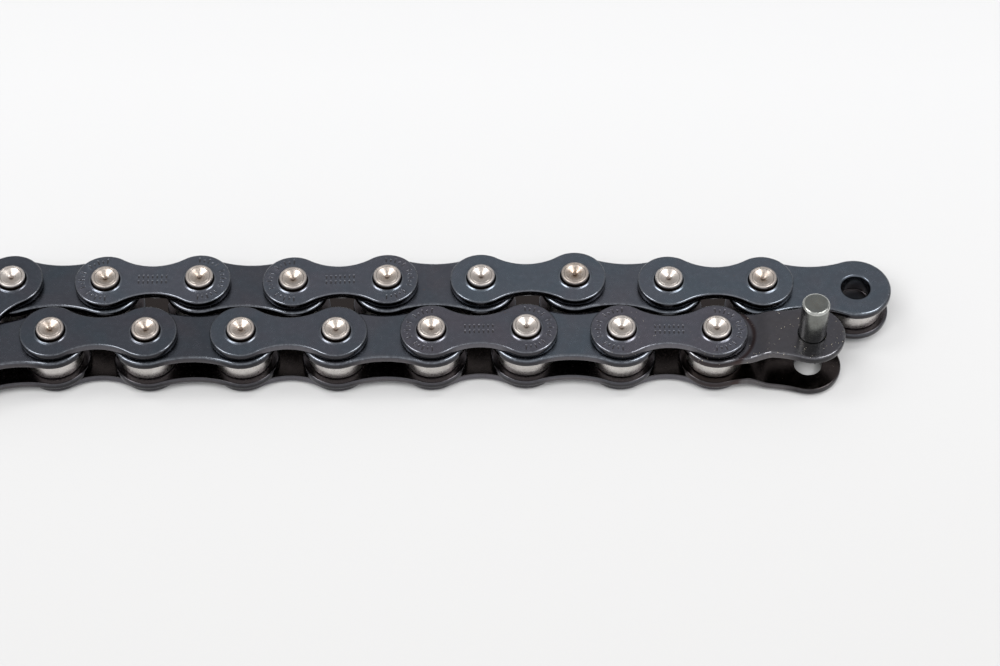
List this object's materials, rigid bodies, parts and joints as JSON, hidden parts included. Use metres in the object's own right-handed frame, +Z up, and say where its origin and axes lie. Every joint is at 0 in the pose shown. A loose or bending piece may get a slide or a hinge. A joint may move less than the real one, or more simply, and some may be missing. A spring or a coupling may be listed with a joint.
{
  "type": "roller chain",
  "caption": "Bicycle-type roller chain of waisted inner and outer plates on riveted pins with rollers, doubled back, with an open inner end and a cranked half link holding a loose pin.",
  "frame": {"origin": "centre of the chain's footprint, on the surface its pin ends stand on", "axes": "+X along the two strands towards the free ends, +Y from the front strand to the back strand, +Z up along the pins"},
  "size_m": [0.1302, 0.0212, 0.0151],
  "materials": {
    "outer_plate": "blue-black steel, polished",
    "inner_plate": "blue-black steel, satin",
    "half_link_plate": "brown-black steel, satin",
    "riveted_pin": "bright ends, dished",
    "roller": "satin",
    "loose_pin": "ground grey"
  },
  "bodies": {
    "fold_link": {"fold_outer_plate_top": "outer_plate", "fold_pin_plate": "outer_plate"},
    "back_link_9": {"back9_inner_plate_top": "inner_plate", "back9_inner_plate_bottom": "inner_plate"},
    "back_link_8": {"back8_outer_plate_top": "outer_plate", "back8_pin_plate": "outer_plate"},
    "back_link_7": {"back7_inner_plate_top": "inner_plate", "back7_inner_plate_bottom": "inner_plate"},
    "back_link_6": {"back6_outer_plate_top": "outer_plate", "back6_pin_plate": "outer_plate"},
    "back_link_5": {"back5_inner_plate_top": "inner_plate", "back5_inner_plate_bottom": "inner_plate"},
    "back_link_4": {"back4_outer_plate_top": "outer_plate", "back4_pin_plate": "outer_plate"},
    "back_link_3": {"back3_inner_plate_top": "inner_plate", "back3_inner_plate_bottom": "inner_plate"},
    "back_link_2": {"back2_outer_plate_top": "outer_plate", "back2_pin_plate": "outer_plate"},
    "back_link_1": {"back1_inner_plate_top": "inner_plate", "back1_inner_plate_bottom": "inner_plate"},
    "front_link_9": {"front9_inner_plate_top": "inner_plate", "front9_inner_plate_bottom": "inner_plate"},
    "front_link_8": {"front8_outer_plate_top": "outer_plate", "front8_pin_plate": "outer_plate"},
    "front_link_7": {"front7_inner_plate_top": "inner_plate", "front7_inner_plate_bottom": "inner_plate"},
    "front_link_6": {"front6_outer_plate_top": "outer_plate", "front6_pin_plate": "outer_plate"},
    "front_link_5": {"front5_inner_plate_top": "inner_plate", "front5_inner_plate_bottom": "inner_plate"},
    "front_link_4": {"front4_outer_plate_top": "outer_plate", "front4_pin_plate": "outer_plate"},
    "front_link_3": {"front3_inner_plate_top": "inner_plate", "front3_inner_plate_bottom": "inner_plate"},
    "front_link_2": {"front2_outer_plate_top": "outer_plate", "front2_outer_plate_bottom": "outer_plate", "front2_pin_left": "riveted_pin", "front2_pin_right": "riveted_pin"},
    "half_link": {"half_link_plate_top": "half_link_plate", "half_link_plate_bottom": "half_link_plate"},
    "loose_pin": {"loose_connecting_pin": "loose_pin"},
    "back9_roller_left": {"back9_roller_left": "roller"},
    "back9_roller_right": {"back9_roller_right": "roller"},
    "back7_roller_left": {"back7_roller_left": "roller"},
    "back7_roller_right": {"back7_roller_right": "roller"},
    "back5_roller_left": {"back5_roller_left": "roller"},
    "back5_roller_right": {"back5_roller_right": "roller"},
    "back3_roller_left": {"back3_roller_left": "roller"},
    "back3_roller_right": {"back3_roller_right": "roller"},
    "back1_roller_left": {"back1_roller_left": "roller"},
    "back1_roller_right": {"back1_roller_right": "roller"},
    "front9_roller_left": {"front9_roller_left": "roller"},
    "front9_roller_right": {"front9_roller_right": "roller"},
    "front7_roller_left": {"front7_roller_left": "roller"},
    "front7_roller_right": {"front7_roller_right": "roller"},
    "front5_roller_left": {"front5_roller_left": "roller"},
    "front5_roller_right": {"front5_roller_right": "roller"},
    "front3_roller_left": {"front3_roller_left": "roller"},
    "front3_roller_right": {"front3_roller_right": "roller"},
    "half_link_roller": {"half_link_roller": "roller"}
  },
  "joints": [
    {"name": "back_hinge_9", "type": "hinge", "parent": "fold_link", "child": "back_link_9", "pos_m": [-0.05395, 0.00519, 0.0048], "axis": [0, 0, -1], "range_deg": [-90, 0]},
    {"name": "back_hinge_8", "type": "hinge", "parent": "back_link_9", "child": "back_link_8", "pos_m": [-0.04125, 0.00508, 0.0048], "axis": [0, 0, 1], "range_deg": [0, 36]},
    {"name": "back_hinge_7", "type": "hinge", "parent": "back_link_8", "child": "back_link_7", "pos_m": [-0.02855, 0.00528, 0.0048], "axis": [0, 0, 1], "range_deg": [0, 36]},
    {"name": "back_hinge_6", "type": "hinge", "parent": "back_link_7", "child": "back_link_6", "pos_m": [-0.01586, 0.00495, 0.0048], "axis": [0, 0, 1], "range_deg": [0, 36]},
    {"name": "back_hinge_5", "type": "hinge", "parent": "back_link_6", "child": "back_link_5", "pos_m": [-0.00316, 0.00536, 0.0048], "axis": [0, 0, 1], "range_deg": [0, 36]},
    {"name": "back_hinge_4", "type": "hinge", "parent": "back_link_5", "child": "back_link_4", "pos_m": [0.00954, 0.00541, 0.0048], "axis": [0, 0, 1], "range_deg": [0, 36]},
    {"name": "back_hinge_3", "type": "hinge", "parent": "back_link_4", "child": "back_link_3", "pos_m": [0.02223, 0.00576, 0.0048], "axis": [0, 0, 1], "range_deg": [0, 36]},
    {"name": "back_hinge_2", "type": "hinge", "parent": "back_link_3", "child": "back_link_2", "pos_m": [0.03491, 0.00508, 0.0048], "axis": [0, 0, 1], "range_deg": [0, 36]},
    {"name": "back_hinge_1", "type": "hinge", "parent": "back_link_2", "child": "back_link_1", "pos_m": [0.04761, 0.00502, 0.0048], "axis": [0, 0, 1], "range_deg": [0, 36]},
    {"name": "fold_hinge", "type": "hinge", "parent": "fold_link", "child": "front_link_9", "pos_m": [-0.06038, -0.00576, 0.0048], "axis": [0, 0, 1], "range_deg": [-165, 0]},
    {"name": "front_hinge_8", "type": "hinge", "parent": "front_link_9", "child": "front_link_8", "pos_m": [-0.04787, -0.0036, 0.0048], "axis": [0, 0, -1], "range_deg": [0, 36]},
    {"name": "front_hinge_7", "type": "hinge", "parent": "front_link_8", "child": "front_link_7", "pos_m": [-0.03517, -0.00361, 0.0048], "axis": [0, 0, -1], "range_deg": [0, 36]},
    {"name": "front_hinge_6", "type": "hinge", "parent": "front_link_7", "child": "front_link_6", "pos_m": [-0.02247, -0.0036, 0.0048], "axis": [0, 0, -1], "range_deg": [0, 36]},
    {"name": "front_hinge_5", "type": "hinge", "parent": "front_link_6", "child": "front_link_5", "pos_m": [-0.00977, -0.0036, 0.0048], "axis": [0, 0, -1], "range_deg": [0, 36]},
    {"name": "front_hinge_4", "type": "hinge", "parent": "front_link_5", "child": "front_link_4", "pos_m": [0.00293, -0.00339, 0.0048], "axis": [0, 0, -1], "range_deg": [0, 36]},
    {"name": "front_hinge_3", "type": "hinge", "parent": "front_link_4", "child": "front_link_3", "pos_m": [0.01563, -0.00312, 0.0048], "axis": [0, 0, -1], "range_deg": [0, 36]},
    {"name": "front_hinge_2", "type": "hinge", "parent": "front_link_3", "child": "front_link_2", "pos_m": [0.02833, -0.00332, 0.0048], "axis": [0, 0, -1], "range_deg": [0, 36]},
    {"name": "half_link_hinge", "type": "hinge", "parent": "front_link_2", "child": "half_link", "pos_m": [0.04103, -0.00336, 0.0048], "axis": [0, 0, -1], "range_deg": [0, 36]},
    {"name": "loose_pin_slide", "type": "slide", "parent": "half_link", "child": "loose_pin", "axis": [0, 0, 1], "range_m": [-0.0059, 0.0013]},
    {"name": "back9_roller_left_spin", "type": "hinge", "parent": "back_link_9", "child": "back9_roller_left", "pos_m": [-0.05395, 0.00519, 0.0048], "axis": [0, 0, 1], "continuous": true},
    {"name": "back9_roller_right_spin", "type": "hinge", "parent": "back_link_9", "child": "back9_roller_right", "pos_m": [-0.04125, 0.00508, 0.0048], "axis": [0, 0, 1], "continuous": true},
    {"name": "back7_roller_left_spin", "type": "hinge", "parent": "back_link_7", "child": "back7_roller_left", "pos_m": [-0.02855, 0.00528, 0.0048], "axis": [0, 0, 1], "continuous": true},
    {"name": "back7_roller_right_spin", "type": "hinge", "parent": "back_link_7", "child": "back7_roller_right", "pos_m": [-0.01586, 0.00495, 0.0048], "axis": [0, 0, 1], "continuous": true},
    {"name": "back5_roller_left_spin", "type": "hinge", "parent": "back_link_5", "child": "back5_roller_left", "pos_m": [-0.00316, 0.00536, 0.0048], "axis": [0, 0, 1], "continuous": true},
    {"name": "back5_roller_right_spin", "type": "hinge", "parent": "back_link_5", "child": "back5_roller_right", "pos_m": [0.00954, 0.00541, 0.0048], "axis": [0, 0, 1], "continuous": true},
    {"name": "back3_roller_left_spin", "type": "hinge", "parent": "back_link_3", "child": "back3_roller_left", "pos_m": [0.02223, 0.00576, 0.0048], "axis": [0, 0, 1], "continuous": true},
    {"name": "back3_roller_right_spin", "type": "hinge", "parent": "back_link_3", "child": "back3_roller_right", "pos_m": [0.03491, 0.00508, 0.0048], "axis": [0, 0, 1], "continuous": true},
    {"name": "back1_roller_left_spin", "type": "hinge", "parent": "back_link_1", "child": "back1_roller_left", "pos_m": [0.04761, 0.00502, 0.0048], "axis": [0, 0, 1], "continuous": true},
    {"name": "back1_roller_right_spin", "type": "hinge", "parent": "back_link_1", "child": "back1_roller_right", "pos_m": [0.06031, 0.00481, 0.0048], "axis": [0, 0, 1], "continuous": true},
    {"name": "front9_roller_left_spin", "type": "hinge", "parent": "front_link_9", "child": "front9_roller_left", "pos_m": [-0.06038, -0.00576, 0.0048], "axis": [0, 0, 1], "continuous": true},
    {"name": "front9_roller_right_spin", "type": "hinge", "parent": "front_link_9", "child": "front9_roller_right", "pos_m": [-0.04787, -0.0036, 0.0048], "axis": [0, 0, 1], "continuous": true},
    {"name": "front7_roller_left_spin", "type": "hinge", "parent": "front_link_7", "child": "front7_roller_left", "pos_m": [-0.03517, -0.00361, 0.0048], "axis": [0, 0, 1], "continuous": true},
    {"name": "front7_roller_right_spin", "type": "hinge", "parent": "front_link_7", "child": "front7_roller_right", "pos_m": [-0.02247, -0.0036, 0.0048], "axis": [0, 0, 1], "continuous": true},
    {"name": "front5_roller_left_spin", "type": "hinge", "parent": "front_link_5", "child": "front5_roller_left", "pos_m": [-0.00977, -0.0036, 0.0048], "axis": [0, 0, 1], "continuous": true},
    {"name": "front5_roller_right_spin", "type": "hinge", "parent": "front_link_5", "child": "front5_roller_right", "pos_m": [0.00293, -0.00339, 0.0048], "axis": [0, 0, 1], "continuous": true},
    {"name": "front3_roller_left_spin", "type": "hinge", "parent": "front_link_3", "child": "front3_roller_left", "pos_m": [0.01563, -0.00312, 0.0048], "axis": [0, 0, 1], "continuous": true},
    {"name": "front3_roller_right_spin", "type": "hinge", "parent": "front_link_3", "child": "front3_roller_right", "pos_m": [0.02833, -0.00332, 0.0048], "axis": [0, 0, 1], "continuous": true},
    {"name": "half_link_roller_spin", "type": "hinge", "parent": "half_link", "child": "half_link_roller", "pos_m": [0.04103, -0.00336, 0.0048], "axis": [0, 0, 1], "continuous": true}
  ]
}
